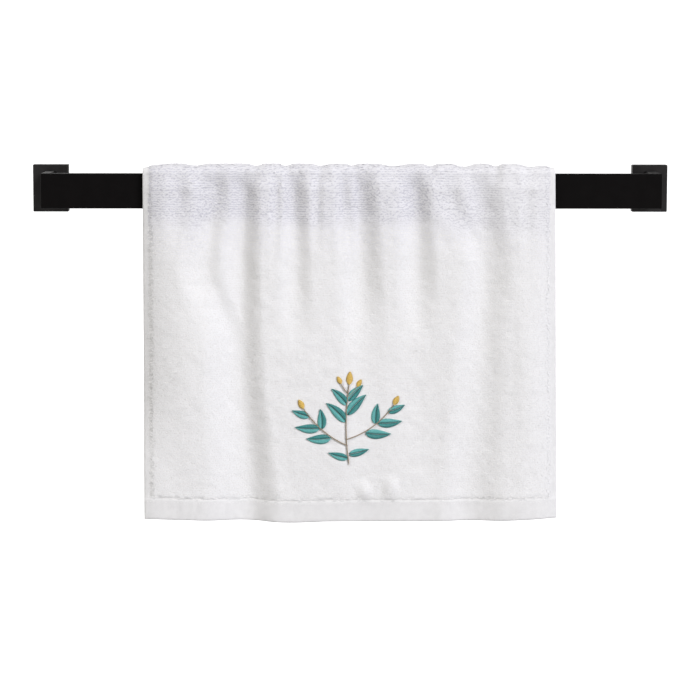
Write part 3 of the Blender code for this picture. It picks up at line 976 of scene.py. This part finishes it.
def bare_for(stitches):
    """A test for places on the cloth that lie under the sprig, where no loops stand."""
    cell, margin, clear, spots_a_stitch = 0.0004, 0.004, 0.0008, 9
    flat, _ = stitch_rings([s for group in stitches.values() for s in group], spots_a_stitch)
    spots = flat.reshape(-1, 2)
    low = spots.min(axis=0) - margin
    size = np.ceil((spots.max(axis=0) + margin - low) / cell).astype(int)
    covered = np.zeros(size, dtype=bool)
    reach = int(clear / cell)
    for i in range(-reach, reach + 1):
        for j in range(-reach, reach + 1):
            at = ((spots - low) / cell).astype(int) + (i, j)
            covered[at[:, 0], at[:, 1]] = True

    def bare(x, path):
        z = BAR_TOP - (FRONT_DROP - path)
        at = ((np.stack((x - SPRIG_X, z - SPRIG_Z), axis=-1) - low) / cell).astype(int)
        inside = ((at >= 0) & (at < size)).all(axis=-1) & (path < OVER_START)
        at = np.where(inside[..., None], at, 0)
        return inside & covered[at[..., 0], at[..., 1]]

    return bare


# ---------------------------------------------------------------- the hems' stitching

def make_hem_stitching(material):
    """A row of lock stitches just inside the pile's edge of each hem."""
    rng = np.random.default_rng(HEM_STITCH_SEED)
    from_edge = HEM_DEPTH - HEM_STITCH_LINE
    pieces = []
    for name, path in (("front", from_edge), ("back", PATH_END - from_edge)):
        left, right = (float(v) for v in sides(np.array(path)))
        start = np.arange(left + HEM_STITCH_START, right - HEM_STITCH_END, HEM_STITCH_PITCH)
        share = np.linspace(0.0, 1.0, 4)
        x = start[:, None] + share[None] * HEM_STITCH_LENGTH
        line = path + rng.uniform(-HEM_STITCH_STRAY, HEM_STITCH_STRAY, (len(start), 1)) + 0.0 * x
        lift = np.array((0.0, HEM_STITCH_ARCH, HEM_STITCH_ARCH, 0.0))[None] - HEM_STITCH_SINK
        centres = surface(x, line, TERRY_THICKNESS / 2 + HEM_THICKNESS / 2 + lift)
        out, _ = outward_at(x, line, TERRY_THICKNESS / 2)
        pieces.append(tubes(f"hem_stitching_{name}", centres, out, HEM_STITCH_HIGH, HEM_STITCH_WIDE,
                            THREAD_SIDES, material))
    return pieces


# ---------------------------------------------------------------- stage

def make_floor():
    """A plain pale floor far below."""
    bpy.ops.mesh.primitive_plane_add(size=FLOOR_SIZE, location=(0.0, 0.0, FLOOR_Z))
    floor = bpy.context.object
    floor.name = "floor"
    floor.visible_diffuse = False  # a white floor's bounce would flatten the folds
    material, _, _, shader = new_material("floor", specular=0.0, roughness=1.0)
    shader.inputs["Base Color"].default_value = (0.85, 0.85, 0.85, 1.0)
    shader.inputs["Emission Color"].default_value = (1.0, 1.0, 1.0, 1.0)
    shader.inputs["Emission Strength"].default_value = 0.5
    floor.data.materials.append(material)


def make_sky():
    """A studio that is brightest round its horizon."""
    world = bpy.data.worlds.new("studio")
    world.use_nodes = True
    nodes, links = world.node_tree.nodes, world.node_tree.links
    background = nodes["Background"]
    background.inputs["Color"].default_value = (1.0, 0.985, 0.96, 1.0)
    direction = nodes.new("ShaderNodeTexCoord")
    split = nodes.new("ShaderNodeSeparateXYZ")
    height = nodes.new("ShaderNodeMath")
    height.operation = "ABSOLUTE"
    links.new(direction.outputs["Generated"], split.inputs["Vector"])
    links.new(split.outputs["Z"], height.inputs[0])
    light = smooth_range(nodes, links, height.outputs["Value"], *HORIZON_EDGES, HORIZON_LIGHT, SKY_LIGHT)
    links.new(light, background.inputs["Strength"])
    bpy.context.scene.world = world


def make_suns():
    for sun in SUNS:
        light = bpy.data.lights.new(sun.name, "SUN")
        light.angle = math.radians(sun.spread)
        light.energy = sun.strength
        light.color = sun.colour
        lamp = bpy.data.objects.new(sun.name, light)
        lamp.rotation_euler = (math.radians(90.0 - sun.height), 0.0, math.radians(sun.bearing))
        bpy.context.collection.objects.link(lamp)


def make_camera():
    camera = bpy.data.cameras.new("camera")
    camera.lens = CAMERA_LENS
    camera.sensor_width = CAMERA_SENSOR
    eye = bpy.data.objects.new("camera", camera)
    eye.location = CAMERA_PLACE
    turn = (90.0 - CAMERA_PITCH, CAMERA_ROLL, -CAMERA_YAW)
    eye.rotation_euler = [math.radians(angle) for angle in turn]
    bpy.context.collection.objects.link(eye)
    bpy.context.scene.camera = eye


# ---------------------------------------------------------------- assembly

def coat_bar():
    """The bar and its returns get the dull black coat, and the plates a slightly shinier one."""
    bar_tones = ((0.0012, 0.0008, 0.0008), (0.0020, 0.0015, 0.0015))
    plate_tones = ((0.009, 0.008, 0.008), (0.015, 0.014, 0.014))
    coat = metal_material("black_coat", bar_tones, specular=0.055, roughness=0.58)
    plate_coat = metal_material("plate_coat", plate_tones, specular=0.18, roughness=0.5)
    for name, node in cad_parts.items():
        if name != "towel":
            node.data.materials.clear()
            node.data.materials.append(plate_coat if name.startswith("plate") else coat)


def make_towel():
    loops, ground, weave = terry_material(), ground_material(), woven_material()
    threads = {part: thread_material(thread.material, thread.tones) for part, thread in THREADS.items()}
    sheet = make_sheet(ground, weave)
    stitches = sprig_stitches()
    on_it = make_pile(loops, bare_for(stitches)) + make_hem_stitching(weave)
    for part, thread in THREADS.items():
        on_it.append(make_stitches(f"sprig_{part}", stitches[part], threads[part]))
    for piece in [sheet, *on_it]:
        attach(piece, BODY)
    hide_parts("towel")


coat_bar()
make_towel()
make_floor()
make_sky()
make_suns()
make_camera()
bpy.context.scene.view_settings.view_transform = "Standard"
